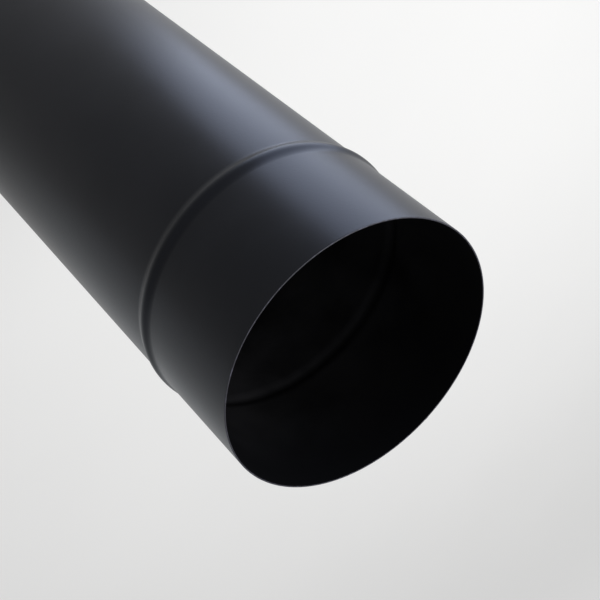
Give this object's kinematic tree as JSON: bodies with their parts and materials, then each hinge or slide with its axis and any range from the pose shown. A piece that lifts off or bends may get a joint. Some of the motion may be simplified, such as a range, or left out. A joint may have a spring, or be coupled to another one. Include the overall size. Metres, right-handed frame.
{
  "type": "stove pipe",
  "caption": "Straight single-wall stove pipe painted satin black, with a rolled stop bead behind its plain spigot end and an expanded socket at its other end.",
  "frame": {"origin": "centre of the socket rim, on the surface that the pipe stands on", "axes": "+Z along the pipe from the socket end up to the beaded spigot end, +Y towards the weld"},
  "size_m": [0.1529, 0.1532, 0.5],
  "materials": {
    "black_paint": "heat-proof satin black paint on steel sheet"
  },
  "bodies": {
    "root": {"pipe": "black_paint"}
  },
  "joints": []
}
